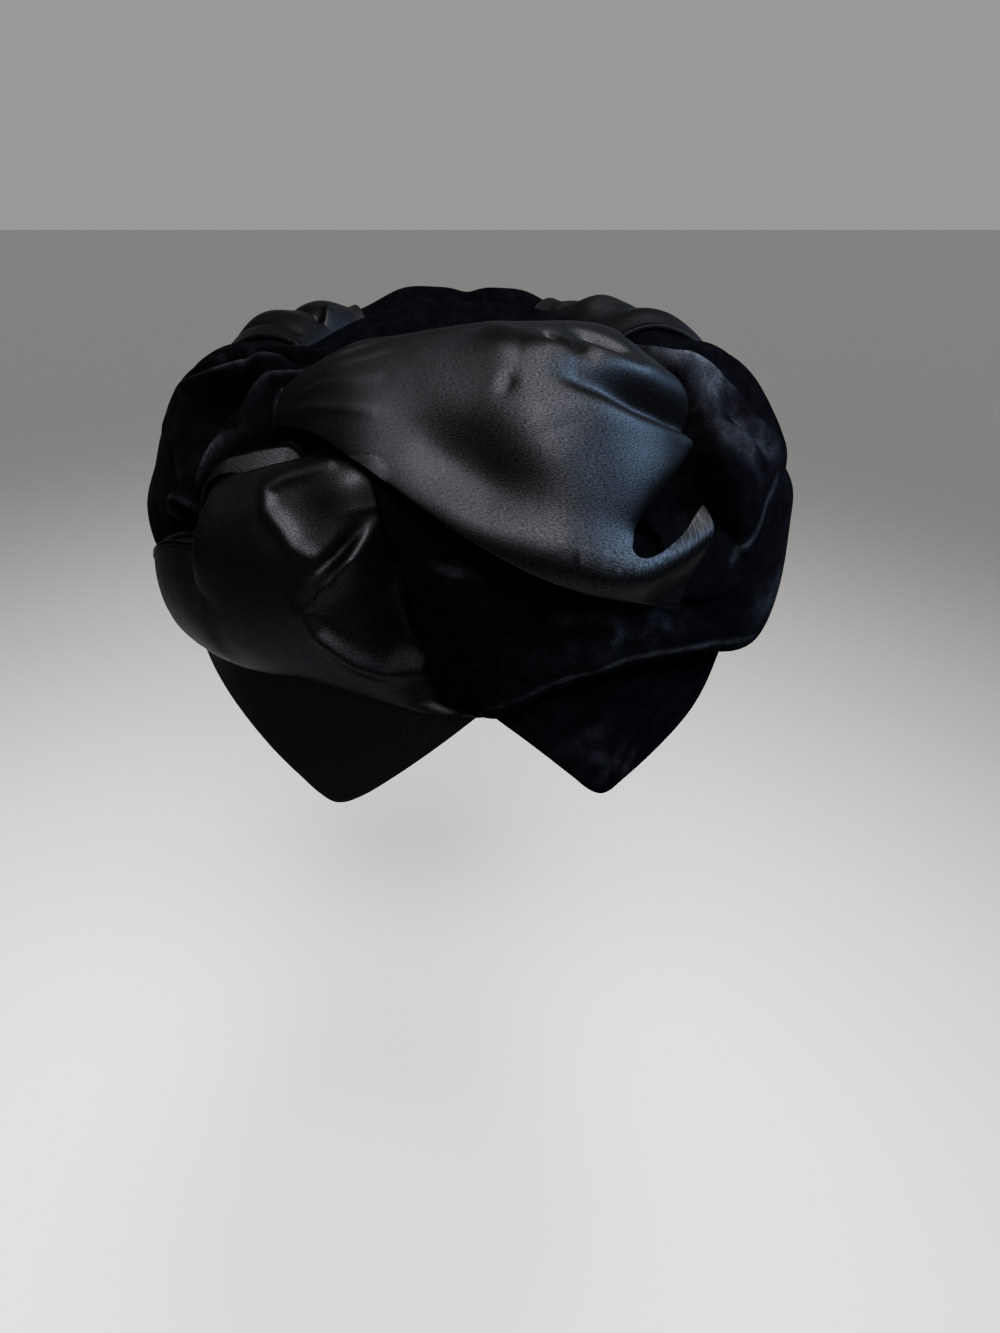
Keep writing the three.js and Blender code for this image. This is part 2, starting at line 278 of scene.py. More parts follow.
def black_satin():
    """Black threads that mirror a little of the room, more where they float on the face."""
    material = bpy.data.materials.new("black satin")
    material.use_nodes = True
    nodes, links = material.node_tree.nodes, material.node_tree.links
    shader = set_inputs(
        nodes["Principled BSDF"], {"Metallic": 1, "Specular Tint": SATIN_EDGE_TINT, "Anisotropic": 0.35}
    )
    place = nodes.new("ShaderNodeUVMap")
    place.uv_map = "cloth"
    weave = nodes.new("ShaderNodeGroup")
    weave.node_tree = SATIN_WEAVE
    set_inputs(weave, {"Thread Scale": 3200})
    links.new(place.outputs["UV"], weave.inputs["Vector"])
    shine = set_inputs(nodes.new("ShaderNodeMapRange"), {"To Min": 0.44, "To Max": 0.54})
    links.new(weave.outputs["Slub"], shine.inputs["Value"])
    links.new(shine.outputs["Result"], shader.inputs["Roughness"])
    threads = nodes.new("ShaderNodeMix")
    threads.data_type = "RGBA"
    set_inputs(threads, {"A": SATIN_THREAD_DARK, "B": SATIN_THREAD_LIGHT})
    links.new(weave.outputs["Float"], threads.inputs["Factor"])
    links.new(threads.outputs["Result"], shader.inputs["Base Color"])
    bump = set_inputs(nodes.new("ShaderNodeBump"), {"Strength": 0.4, "Distance": 0.10 * MM})
    links.new(weave.outputs["Height"], bump.inputs["Height"])
    links.new(bump.outputs["Normal"], shader.inputs["Normal"])
    return material


SATIN_CLOTH = (black_satin(), "satin", SATIN_WALL)
VELVET_CLOTH = (VELVET, "velvet", VELVET_WALL)


def crown_radius(azimuth):
    """Radius of the crown's outside at an azimuth, 0 at the front and 90 at the right."""
    a = np.radians(azimuth)
    half_width = CROWN_HALF_WIDTH - CROWN_WALL
    half_depth = CROWN_HALF_DEPTH - CROWN_WALL
    return 1 / np.hypot(np.sin(a) / half_width, np.cos(a) / half_depth) + CROWN_WALL


def around(azimuth, radius, height):
    a = np.radians(azimuth)
    return np.stack([radius * np.sin(a), -radius * np.cos(a), height], axis=-1) * MM


def smooth_rows(rows, along):
    """The columns of a table of sections, read along it from its first row (0) to its last (1)."""
    rows = np.array(rows, float)
    last = len(rows) - 1
    place = np.clip(along, 0, 1) * last
    row = np.clip(np.floor(place).astype(int), 0, last - 1)
    f = (place - row)[..., None]
    before, here = rows[np.maximum(row - 1, 0)], rows[row]
    there, after = rows[row + 1], rows[np.minimum(row + 2, last)]
    bend = 2 * before - 5 * here + 4 * there - after
    twist = 3 * (here - there) + after - before
    return here + 0.5 * f * (there - before + f * (bend + f * twist))


def shares_of(along_steps, across):
    """A cloth's grid as shares along and across it."""
    return np.meshgrid(np.linspace(0, 1, along_steps), across, indexing="ij")


# About the length in mm of a degree of azimuth and of a degree of turn, at the front.
MM_PER_AZIMUTH = 1.8
MM_PER_TURN = 0.75


def nearest_on_line(points, azimuth, turn):
    """Distance in mm from each place to a line of places, and the share along the line.
    The distance is plus to the left of the line and minus to its right."""
    x, y = azimuth * MM_PER_AZIMUTH, turn * MM_PER_TURN
    line = np.array(points, float) * (MM_PER_AZIMUTH, MM_PER_TURN)
    steps = np.diff(line, axis=0)
    lengths = np.hypot(*steps.T)
    starts = np.concatenate([[0], np.cumsum(lengths)])
    best = np.full(x.shape, np.inf)
    signed = np.zeros(x.shape)
    share = np.zeros(x.shape)
    for start, step, length, before in zip(line, steps, lengths, starts):
        dx, dy = x - start[0], y - start[1]
        t = np.clip((dx * step[0] + dy * step[1]) / length**2, 0, 1)
        distance = np.hypot(dx - t * step[0], dy - t * step[1])
        side = np.where(step[0] * dy - step[1] * dx >= 0, 1, -1)
        closer = distance < best
        best = np.where(closer, distance, best)
        signed = np.where(closer, side * distance, signed)
        share = np.where(closer, (before + t * length) / starts[-1], share)
    return signed, share


def fading(share, start, end):
    """1 at the middle of a line, falling to the given values at its start and its end."""
    return 1 - np.where(share < 0.5, 1 - start, 1 - end) * (1 - 2 * share) ** 2


def ridge(azimuth, turn, rise, spread, start, end, points):
    """A fold's ridge, or a hollow where rise is negative, along a line of places."""
    distance, share = nearest_on_line(points, azimuth, turn)
    return rise * fading(share, start, end) * np.exp(-((distance / spread) ** 2))


# Painted sheen on fold crests: this much where a fold rises CREST_RISE mm, none in hollows.
CREST_LIT = 0.025
CREST_RISE = 3.5
STROKE_ENDS = 0.2


def painted_velvet_sheen(azimuth, turn, folds, strokes):
    """Painted sheen for velvet's colour: a little on each fold's crest, none in its hollows, and more in
    strokes.
    A stroke has a strength, a spread in mm and a line of places."""
    lit = CREST_LIT * np.clip(folds / CREST_RISE, 0, 1)
    for strength, spread, points in strokes:
        stroke = ridge(azimuth, turn, strength, spread, STROKE_ENDS, STROKE_ENDS, points)
        lit = np.maximum(lit, stroke)
    return lit


def grid_mesh(name, places, along, across, painted_sheen=None):
    """A cloth grid moved to its places, with a UV map in metres along and across the cloth."""
    along_steps, across_steps = places.shape[:2]
    bm = bmesh.new()
    bmesh.ops.create_grid(bm, x_segments=along_steps - 1, y_segments=across_steps - 1, size=1)
    length = np.linalg.norm(np.diff(places, axis=0), axis=2).sum(axis=0).max()
    width = np.linalg.norm(np.diff(places, axis=1), axis=2).sum(axis=1).max()
    uv = bm.loops.layers.uv.new("cloth")
    # A per-vertex layer of painted sheen, read by the velvet's colour.
    pile = bm.verts.layers.float.new("painted_sheen")
    flat_place = {}
    for vert in bm.verts:
        i = round((vert.co.x + 1) / 2 * (along_steps - 1))
        j = round((vert.co.y + 1) / 2 * (across_steps - 1))
        flat_place[vert] = (along[i, j] * length, across[i, j] * width)
        vert.co = places[i, j]
        vert[pile] = 0 if painted_sheen is None else painted_sheen[i, j]
    for face in bm.faces:
        for loop in face.loops:
            loop[uv].uv = flat_place[loop.vert]
    mesh = bpy.data.meshes.new(name + "_cloth")
    bm.to_mesh(mesh)
    bm.free()
    return mesh, (width, length)


def show_lappet(name, sections, cloth, wave, strokes):
    wall = cloth[-1]
    along, across = shares_of(90, np.linspace(0, 1, 28))
    azimuth, low, high = np.moveaxis(smooth_rows(sections, along), -1, 0)
    height = low + (high - low) * across
    flare = LAPPET_FLARE * np.maximum(0, -height)
    hanging = np.clip(-height / LAPPET_RIPPLE_FADE, 0, 1)
    ripple = wave * np.sin(np.radians(azimuth * LAPPET_RIPPLES)) * hanging
    radius = crown_radius(azimuth) + LAPPET_EASE + wall + flare + ripple
    painted_sheen = painted_velvet_sheen(azimuth, height, ripple, strokes)
    mesh, flat = grid_mesh(name, around(azimuth, radius, height), along, across, painted_sheen)
    show_cloth(name, mesh, cloth)


# Columns: azimuth, height of the lower edge, height of the upper edge.
SATIN_LAPPET_SECTIONS = [
    (-60, 5, 12),
    (-48, -2, 13),
    (-34, -11, 13),
    (-24, -18.6, 13),
    (-20, -22.2, 13),
    (-17, -23.6, 13),
    (-13.5, -21, 13),
    (-8, -14, 12),
    (3, 1.5, 10),
]
VELVET_LAPPET_SECTIONS = [
    (4.6, 1.5, 10),
    (10, -6.6, 12),
    (16, -16.5, 13),
    (19, -21.4, 13),
    (21.5, -22.8, 13),
    (25, -20.4, 13),
    (33, -14.6, 13),
    (44, -7, 13),
    (56, 4, 12),
]
# Painted sheen in a swirl of strokes near the velvet lappet's point, on azimuths and heights.
# Columns: strength, spread, line.
LAPPET_LIT_PILE = [
    (0.14, 1.4, [(17, -10), (20, -12), (22, -16), (20, -19)]),
    (0.14, 1.2, [(24.5, -12), (22.8, -15), (23.5, -18.5)]),
    (0.12, 1.2, [(26.5, -14), (25.5, -17), (24, -19.5)]),
    (0.07, 1.8, [(14, -8), (18, -7), (23, -8)]),
]
show_lappet("satin_lappet", SATIN_LAPPET_SECTIONS, SATIN_CLOTH, wave=0.2, strokes=[])
show_lappet("velvet_lappet", VELVET_LAPPET_SECTIONS, VELVET_CLOTH, wave=0.4, strokes=LAPPET_LIT_PILE)

# Left velvet folds
# Velvet gathered at the left end of the drape, which fans out over the left side in deep folds.
# It is tacked down along the rim and under the satin roll behind it.

# Every draped band lies on a padded arch that runs round the crown, from the rim up and over the edge.
# A place on it is an azimuth, a turn round the arch and a stand off it.
RING_SET_IN = 20
RING_HALF = 28
RING_MID_HEIGHT = 32
RING_UP_FRONT = 46
RING_UP_SIDE = 40
RING_DOWN = 62


def ring_place(azimuth, turn, stand):
    t = np.radians(turn)
    sideways = np.sin(np.radians(azimuth)) ** 2
    up = RING_UP_FRONT + (RING_UP_SIDE - RING_UP_FRONT) * sideways
    reach = np.where(turn < 0, RING_DOWN, up)
    outward = np.cos(t) / RING_HALF
    upward = np.sin(t) / reach
    steepness = np.hypot(outward, upward)
    radius = crown_radius(azimuth) - RING_SET_IN + RING_HALF * np.cos(t)
    height = RING_MID_HEIGHT + reach * np.sin(t)
    return around(
        azimuth,
        radius + stand * outward / steepness,
        height + stand * upward / steepness,
    )


def ridges(azimuth, turn, rows):
    """All the ridges and hollows of a table of folds."""
    return sum(ridge(azimuth, turn, *row) for row in rows)


def creases(azimuth, turn, rise, grain, seed):
    """Small uneven wrinkles all over a cloth."""
    across, up = azimuth.ravel() * MM_PER_AZIMUTH / grain, turn.ravel() * MM_PER_TURN / grain
    values = [noise.noise(Vector((a, t, seed))) for a, t in zip(across, up)]
    return rise * np.array(values).reshape(azimuth.shape)


# The stand of the cloth laid so far, on a grid over the ring, so that the next cloth lies over it.
LAID_AZIMUTHS = 360
LAID_TURNS = 100
LAID_TURN_START = -50
LAID_TURN_STEP = 2
BARE = -8.0
LAY_CLEARANCE = 0.4
laid = np.full((LAID_AZIMUTHS, LAID_TURNS), BARE)


def beside(cells, across, up):
    return np.roll(np.roll(cells, across, axis=0), up, axis=1)


def lie_over(azimuth, turn, stand, wall):
    """Lifts a cloth's stand wherever it would sink into the cloth laid before it."""
    near = [(across, up) for across in (-1, 0, 1) for up in (-1, 0, 1)]
    cover = np.max([beside(laid, *step) for step in near], axis=0)
    for _ in range(2):
        cover = np.mean([beside(cover, *step) for step in near], axis=0)
    column = azimuth - 0.5
    row = np.clip((turn - LAID_TURN_START) / LAID_TURN_STEP - 0.5, 0, LAID_TURNS - 2)
    i, j = np.floor(column).astype(int), np.floor(row).astype(int)
    f, g = column - i, row - j
    i, after = i % LAID_AZIMUTHS, (i + 1) % LAID_AZIMUTHS
    below = (1 - f) * cover[i, j] + f * cover[after, j]
    above = (1 - f) * cover[i, j + 1] + f * cover[after, j + 1]
    return np.maximum(stand, (1 - g) * below + g * above + wall + LAY_CLEARANCE)


def note_laid(azimuth, turn, stand):
    column = np.floor(azimuth).astype(int) % LAID_AZIMUTHS
    row = ((turn - LAID_TURN_START) / LAID_TURN_STEP).astype(int)
    np.maximum.at(laid, (column, np.clip(row, 0, LAID_TURNS - 1)), stand)


def swell(across, peak, softness):
    """How a band bulges between its two edges, fullest at the peak."""
    skew = math.log(0.5) / math.log(peak)
    return np.maximum(np.sin(np.pi * across**skew), 0) ** softness


def band_places(sections, along, across, peak=0.5, softness=0.6):
    """Azimuth, turn and stand of a band's grid, before its folds."""
    columns = np.moveaxis(smooth_rows(sections, along), -1, 0)
    azimuth, lean, low, high, low_stand, high_stand, puff = columns
    azimuth = azimuth + lean * (across - 0.5)
    turn = low + (high - low) * across
    stand = low_stand + (high_stand - low_stand) * across + puff * swell(across, peak, softness)
    return azimuth, turn, stand


def hold_edges(along, across, first=0.12, last=0.12, side=0.08):
    """1 inside a band, falling to 0 at the edges where its folds are sewn down."""
    from_first = np.clip(along / first, 0, 1)
    from_last = np.clip((1 - along) / last, 0, 1) if last else 1
    from_side = np.clip(np.minimum(across, 1 - across) / side, 0, 1) if side else 1
    return from_first * from_last * from_side


def show_band(name, places, shares, cloth, painted_sheen=None):
    azimuth, turn, stand = places
    stand = lie_over(azimuth, turn, stand, cloth[-1])
    note_laid(azimuth, turn, stand)
    mesh, flat = grid_mesh(name, ring_place(azimuth, turn, stand), *shares, painted_sheen)
    show_cloth(name, mesh, cloth)


# Columns: azimuth, lean, turns of the low and the high edge, their stands, puff between them.
VELVET_SIDE_LEFT_SECTIONS = [
    (-118, 16, -31, 108, -1.9, 0.4, 0.6),
    (-112, 16, -31, 108, -1.9, 0.4, 1),
    (-98, 12, -31, 108, -1.9, 0.4, 2),
    (-83, 8, -31, 108, -1.9, 0, 2.5),
    (-70, 4, -20, 108, -1.9, 0, 2.5),
    (-57, 0, -6, 109, -1.9, 0, 2.5),
    (-44, 0, 5, 110, -1.6, 0, 2.5),
    (-32, 0, 16, 110, -1.2, 0, 2),
    (-20, 0, 22, 108, -1, 0, 1),
    (-10, 0, 26, 100, -1, 0, 0.6),
]
LEFT_INNER_FOLD = [(-20.8, 70), (-24, 65), (-27.5, 61), (-29, 54), (-29.8, 45), (-28.8, 36)]
LEFT_OUTER_FOLD = [(-44, 22), (-48.2, 34), (-51.8, 42), (-52.2, 52), (-46.5, 60), (-39.8, 70), (-30, 76)]
LEFT_CURL = [(-38.5, 14), (-44, 16), (-48, 15), (-49, 10), (-44, 8)]
# Columns: rise, spread, shares of the rise at the start and the end of the line, line.
LEFT_FOLDS = [
    (4.5, 3, 0.1, 0.6, LEFT_INNER_FOLD),
    (5, 3.2, 0.5, 0.5, LEFT_OUTER_FOLD),
    (-11, 7, 0.6, 0.6, [(-38, 62), (-44, 50), (-43, 36)]),
    (3.5, 2.5, 0.5, 0.5, [(-35.2, 40), (-36.5, 29), (-39, 22)]),
    (-6, 3.5, 0.5, 0.5, [(-32, 60), (-33.5, 46), (-33, 34)]),
    (2.5, 2, 0.5, 0.5, LEFT_CURL),
    (1.4, 1.2, 0.3, 0.3, [(-26, 62), (-25.5, 52), (-24, 42)]),
    (1.2, 1.2, 0.3, 0.3, [(-24, 64), (-23.5, 52), (-22.5, 44)]),
    (-4, 6, 0.9, 0.9, [(-22, 54), (-12, 60)]),
    (-5, 5, 0.9, 0.9, [(-27, 33), (-19, 38)]),
    (-5, 3, 0.3, 0.3, [(-24, 81), (-36, 81), (-50, 68), (-58, 48)]),
    (3, 3, 0.3, 0.3, [(-22, 90), (-35.5, 87), (-48, 74), (-62, 58), (-66, 36)]),
    (-4, 3, 0.3, 0.3, [(-24, 97), (-42, 92), (-58, 76), (-70, 54)]),
    (2, 4, 0.3, 0.3, [(-26, 104), (-50, 97), (-68, 80), (-78, 50)]),
    (4, 11, 0.3, 0.3, [(-60, -2), (-98, -4)]),
    (2, 6, 0.3, 0.3, [(-84, 90), (-92, 40), (-92, 0)]),
]
# Painted sheen strokes along the folds. Columns: strength, spread, line.
LEFT_LIT_PILE = [
    (0.05, 3.0, LEFT_INNER_FOLD),
    (0.34, 1.2, [(-20.8, 70), (-24, 66), (-27.8, 61), (-29.8, 54), (-30.6, 45), (-29.6, 36)]),
    (0.50, 1.2, [(-44, 20), (-49, 32), (-52.8, 42), (-53.4, 52), (-48, 61), (-41, 70), (-30, 76)]),
    (0.12, 3.0, [(-48, 60), (-48.5, 66), (-52.5, 74)]),
    (0.14, 2.5, [(-43.5, 72), (-42, 78), (-41.5, 84)]),
    (0.34, 1.3, [(-35.2, 42), (-36.5, 30), (-39, 22)]),
    (0.22, 1.2, LEFT_CURL),
    (0.16, 1.0, [(-24.8, 62), (-25.4, 53), (-24.4, 44)]),
    (0.14, 1.0, [(-22.6, 64), (-23, 54), (-22.4, 45)]),
]
along, across = shares_of(220, np.linspace(0, 1, 140))
azimuth, turn, stand = band_places(VELVET_SIDE_LEFT_SECTIONS, along, across)
folds = ridges(azimuth, turn, LEFT_FOLDS)
folds += creases(azimuth, turn, rise=0.3, grain=14, seed=1.0)
stand = stand + folds * hold_edges(along, across)
painted_sheen = painted_velvet_sheen(azimuth, turn, folds, LEFT_LIT_PILE)
show_band("velvet_side_left", (azimuth, turn, stand), (along, across), VELVET_CLOTH, painted_sheen)

# Back velvet roll
# A slanted puff of velvet across the back, sewn to the rim below and to the crown above.
# It is tucked under the satin roll on each side of it.

# Columns: azimuth, lean, turns of the low and the high edge, their stands, puff between them.
VELVET_BACK_SECTIONS = [
    (145, 16, -31, 112, -1.9, 0.4, 0.6),
    (155, 16, -31, 114, -1.9, 0.4, 2.5),
    (167, 16, -31, 116, -1.9, 0.4, 7.5),
    (180, 16, -31, 117, -1.9, 0.4, 9),
    (193, 16, -31, 116, -1.9, 0.4, 7.5),
    (205, 16, -31, 114, -1.9, 0.4, 2.5),
    (215, 16, -31, 112, -1.9, 0.4, 0.6),
]
# Columns: rise, spread, shares of the rise at the start and the end of the line, line.
BACK_FOLDS = [
    (2, 9, 0.3, 0.3, [(160, -10), (170, 104)]),
    (-2.5, 6, 0.3, 0.3, [(172, -10), (183, 104)]),
    (2, 9, 0.3, 0.3, [(186, -10), (198, 104)]),
]
along, across = shares_of(120, np.linspace(0, 1, 90))
azimuth, turn, stand = band_places(VELVET_BACK_SECTIONS, along, across)
folds = ridges(azimuth, turn, BACK_FOLDS)
folds += creases(azimuth, turn, rise=0.5, grain=14, seed=2.0)
stand = stand + folds * hold_edges(along, across)
# Painted sheen on the crests of the back's folds only.
painted_sheen = painted_velvet_sheen(azimuth, turn, folds, [])
show_band("velvet_back", (azimuth, turn, stand), (along, across), VELVET_CLOTH, painted_sheen)

# Satin wing
# The puffed satin at the left front, pulled up under the drape and pinched where it is tacked.
# Its top edge is turned over in a thin strip.


def oval(azimuth, turn, rise, middle, half_long, half_wide, slope=0.0):
    """A smooth oval puff, or a hollow where rise is negative.
    Its long way runs from left to right, turned up by a slope in degrees."""
    x = (azimuth - middle[0]) * MM_PER_AZIMUTH
    y = (turn - middle[1]) * MM_PER_TURN
    c, s = math.cos(math.radians(slope)), math.sin(math.radians(slope))
    return rise * np.exp(-(((c * x + s * y) / half_long) ** 2) - ((c * y - s * x) / half_wide) ** 2)


def left_of(points, azimuth, turn, softness):
    """1 to the left of a line of places, 0 to its right, changing over the softness in mm."""
    distance, _ = nearest_on_line(points, azimuth, turn)
    return 1 / (1 + np.exp(-np.clip(3 * distance / softness, -30, 30)))


def lap(azimuth, turn, rise, reach, points, softness=0.8, start=0.0, end=0.0):
    """A fold's edge: the cloth to the left of the line stands over the cloth to its right."""
    distance, share = nearest_on_line(points, azimuth, turn)
    level = 0.5 + 0.5 * np.cos(np.pi * np.clip(distance / reach, 0, 1))
    return rise * fading(share, start, end) * level * left_of(points, azimuth, turn, softness)


def run_between(values, first, last):
    """How far values have run from the first (0) to the last (1)."""
    return np.clip((values - first) / (last - first), 0, 1)


# Columns: azimuth, lean, turns of the low and the high edge, their stands, puff between them.
SATIN_WING_SECTIONS = [
    (-69, 0, -20, -14, 2.0, 2.4, 0.4),
    (-56, 0, -24, -5, 1.8, 3.4, 1.4),
    (-44, 0, -24, 2, 1.0, 4, 3),
    (-34.8, 0, -24, 7, 0.4, 4.4, 5),
    (-30.8, 0, -24, 25, 0.2, 6, 5.6),
    (-25, 0, -23, 30, 0, 6, 6.8),
    (-19, 0, -22, 34.5, -0.2, 5, 7.4),
    (-11, 0, -25, 40, -0.8, 2.2, 6.6),
    (-4, 0, -28, 38, -1, 0, 2.2),
    (3, 0, -29, 30, -0.6, 0, 1),
]
C_FOLD = [
    (-14, 34), (-16.2, 32), (-19.5, 29), (-21.2, 26), (-20.6, 21), (-18.6, 17), (-17.2, 13), (-14.6, 10),
]
LOWER_FOLD = [(-13.2, 4), (-16.2, -2), (-15, -7), (-11, -13), (-8.2, -16), (-4.2, -18)]
LEFT_TUCK = [(-30.4, 26), (-30.8, 18), (-32, 10), (-34, -2)]
# Columns: rise, spread, shares of the rise at the start and the end of the line, line.
SATIN_WING_FOLDS = [
    (1.3, 1.7, 0.5, 0.5, C_FOLD),
    (2.6, 2.0, 0.6, 0.4, [(-8.2, 19), (-10.4, 11), (-13.2, 5)]),
    (-2.2, 1.7, 0.4, 0.2, [(-10.4, 17), (-12.4, 11), (-14.6, 7)]),
    (3, 1.8, 0.4, 0.6, LOWER_FOLD),
    (-8, 5, 0.1, 0.5, [(-8, 24), (-6.5, 10), (-7.5, 0), (-6, -10), (-1, -22)]),
]
# The turned-over strip above the top edge. Columns: azimuth, width as a turn, stand off the edge.
TURNED_STRIP = [
    (-34, 0.6, 0.8),
    (-31.4, 2.0, 2.6),
    (-28.8, 4.2, 2.0),
    (-25.2, 6.2, -0.4),
    (-21.4, 7.0, -3.2),
    (-20, 4.2, -4),
    (-19, 0.6, -4.2),
]
# The strip steps out from the edge, rises to its full width and is tucked in behind.
STRIP_STEPS = 24
STRIP_SHARE = 0.09
STRIP_STEP_END = 0.1
STRIP_TUCK_START = 0.7
STRIP_SET_BACK = 0.5
STRIP_LEAN = 0.15
STRIP_TUCK = 7
STRIP_TUCK_TURN = 2

strip_across = 1 + STRIP_SHARE * np.linspace(0, 1, STRIP_STEPS + 1)[1:]
along, cloth_across = shares_of(200, np.concatenate([np.linspace(0, 1, 100), strip_across]))
across = np.minimum(cloth_across, 1)
azimuth, turn, stand = band_places(SATIN_WING_SECTIONS, along, across, peak=0.45, softness=0.8)
folds = ridges(azimuth, turn, SATIN_WING_FOLDS)
folds += oval(azimuth, turn, rise=1.8, middle=(-11.5, 31), half_long=7, half_wide=6)
folds += oval(azimuth, turn, rise=-1.6, middle=(-15.5, 20), half_long=6, half_wide=6)
folds += lap(azimuth, turn, rise=2.5, reach=12, points=LEFT_TUCK)
folds += creases(azimuth, turn, rise=0.3, grain=20, seed=3.0)
folds += creases(azimuth, turn, rise=0.10, grain=6, seed=3.5)
stand = stand + folds * hold_edges(along, across, first=0.05, last=0.05, side=0.04)
turned = (cloth_across - across) / STRIP_SHARE
stepped = run_between(turned, 0, STRIP_STEP_END)
rising = run_between(turned, STRIP_STEP_END, STRIP_TUCK_START)
tucked = run_between(turned, STRIP_TUCK_START, 1)
strip_azimuth, strip_width, strip_stand = np.array(TURNED_STRIP).T
width = np.interp(azimuth, strip_azimuth, strip_width)
stand = stand + stepped * (np.interp(azimuth, strip_azimuth, strip_stand) - STRIP_SET_BACK)
stand = stand - STRIP_LEAN * rising * width - STRIP_TUCK * tucked
turn = turn + width * rising + STRIP_TUCK_TURN * tucked
show_band("satin_wing", (azimuth, turn, stand), (along, cloth_across), SATIN_CLOTH)

# Velvet wing
# The velvet at the right front, lapped over the satin wing and folded along its lower edge.
# It runs on low round the right side, with a swirl of folds below the drape that carries painted sheen.

# Columns: azimuth, lean, turns of the low and the high edge, their stands, puff between them.
VELVET_WING_SECTIONS = [
    (-5.5, -7, -23, 36, 0.5, 0, 0.6),
    (3, -4, -28, 32, 1.2, 2, 3.5),
    (12, 0, -23, 24, -1, 2, 4.5),
    (24, 0, -20.5, 13, -1.2, 0.5, 5),
    (36, 0, -22, 9, 0, -0.5, 6),
    (47, 0, -26, 11, 2.2, -0.5, 6),
    (58, 0, -29, 26, 2.6, -0.5, 5.5),
    (72, 0, -31, 32, 0.6, -0.5, 5.5),
    (90, 4, -31, 30, -1.9, -1, 4),
    (112, 12, -31, 28, -1.9, -1.5, 0.4),
]
SWIRL = [(11, -4), (15, -3.5), (18.5, -5), (20.2, -10), (17, -15.5)]
# Columns: rise, spread, shares of the rise at the start and the end of the line, line.
VELVET_WING_FOLDS = [
    (0.9, 1.3, 0.3, 0.3, [(-2.5, 9), (-0.2, 7), (2.5, 6)]),
    (1.4, 2.0, 0.5, 0.5, SWIRL),
    (1.4, 2.2, 0.3, 0.3, [(23.2, -14), (25.5, -8), (29.2, -13)]),
    (-1.6, 2.5, 0.3, 0.3, [(20, -4), (20.6, -10), (21, -15)]),
    (0.9, 3, 0.3, 0.3, [(3, -17), (7, -14), (13.2, -12), (17.5, -15)]),
    (2, 8, 0.3, 0.3, [(62, 10), (82, 6)]),
]
# Painted sheen strokes along the folds and the folded edge. Columns: strength, spread, line.
WING_LIT_PILE = [
    (0.45, 0.6, [(3.8, -24), (12.2, -19), (22.5, -16), (36.8, -18), (50, -22)]),
    (0.16, 1.1, [(-2.8, 10), (-0.2, 8), (2.8, 7)]),
    (0.07, 4.0, [(5.2, -20), (12, -15), (22.2, -12), (32.5, -12)]),
    (0.22, 1.2, SWIRL),
    (0.25, 1.4, [(22.5, -13), (24.8, -7), (28.2, -12)]),
    (0.18, 3.0, [(45, -14), (54, -14), (62.5, -12)]),
]
along, across = shares_of(260, np.linspace(0, 1, 80))
azimuth, turn, stand = band_places(VELVET_WING_SECTIONS, along, across, peak=0.35)
folds = ridges(azimuth, turn, VELVET_WING_FOLDS)
folds += creases(azimuth, turn, rise=0.3, grain=14, seed=4.0)
stand = stand + folds * hold_edges(along, across)
painted_sheen = painted_velvet_sheen(azimuth, turn, folds, WING_LIT_PILE)
show_band("velvet_wing", (azimuth, turn, stand), (along, across), VELVET_CLOTH, painted_sheen)

# Right velvet roll
# A roll of velvet over the right side, lapped over the wing below it and sewn to the crown above.
# Its front end is turned in behind the drape.

# Columns: azimuth, lean, turns of the low and the high edge, their stands, puff between them.
VELVET_SIDE_RIGHT_SECTIONS = [
    (24, -4, -2, 100, -6, -2, 0.6),
    (29, -6, -5, 104, -6, -2, 0.6),
    (34, -8, -5, 108, -6, -1.5, 0.8),
    (36.2, -8, -4, 110, 5, 0, 2.5),
    (40, -6, -1, 110, 7.8, 0, 2),
    (46, -3, 7, 111, 7.4, -0.2, 1),
    (54, 0, 15, 111, 7.2, -0.4, 0.5),
    (66, 0, 23, 109, 6.6, -0.4, 0.2),
    (82, 6, 25, 108, 5, 0, 0.6),
    (98, 12, 22, 108, 3.4, 0.4, 1),
    (112, 16, 20, 108, 2, 0.4, 1),
    (119, 16, 20, 108, 1.6, 0.4, 0.6),
]
# Columns: rise, spread, shares of the rise at the start and the end of the line, line.
RIGHT_FOLDS = [
    (2.2, 3, 0.5, 0.5, [(40, 66), (46.5, 50), (48.5, 40), (56.2, 30), (64, 24)]),
    (-1.8, 2.4, 0.3, 0.3, [(40, 54), (44, 44), (48, 34), (54, 26)]),
    (1.6, 2.4, 0.3, 0.3, [(36, 46), (40, 38), (46.2, 31), (49, 23)]),
    (-1.2, 1.2, 0.3, 0.3, [(36, 43), (40, 42), (44, 40)]),
    (2, 7, 0.3, 0.3, [(33, 70), (40, 62), (45, 54)]),
    (-2.2, 4, 0.3, 0.3, [(46, 92), (54, 74), (60, 54), (68, 40)]),
    (2, 5, 0.3, 0.3, [(58, 94), (68, 70), (76, 44)]),
    (1.5, 8, 0.3, 0.3, [(74, 100), (104, 34)]),
]
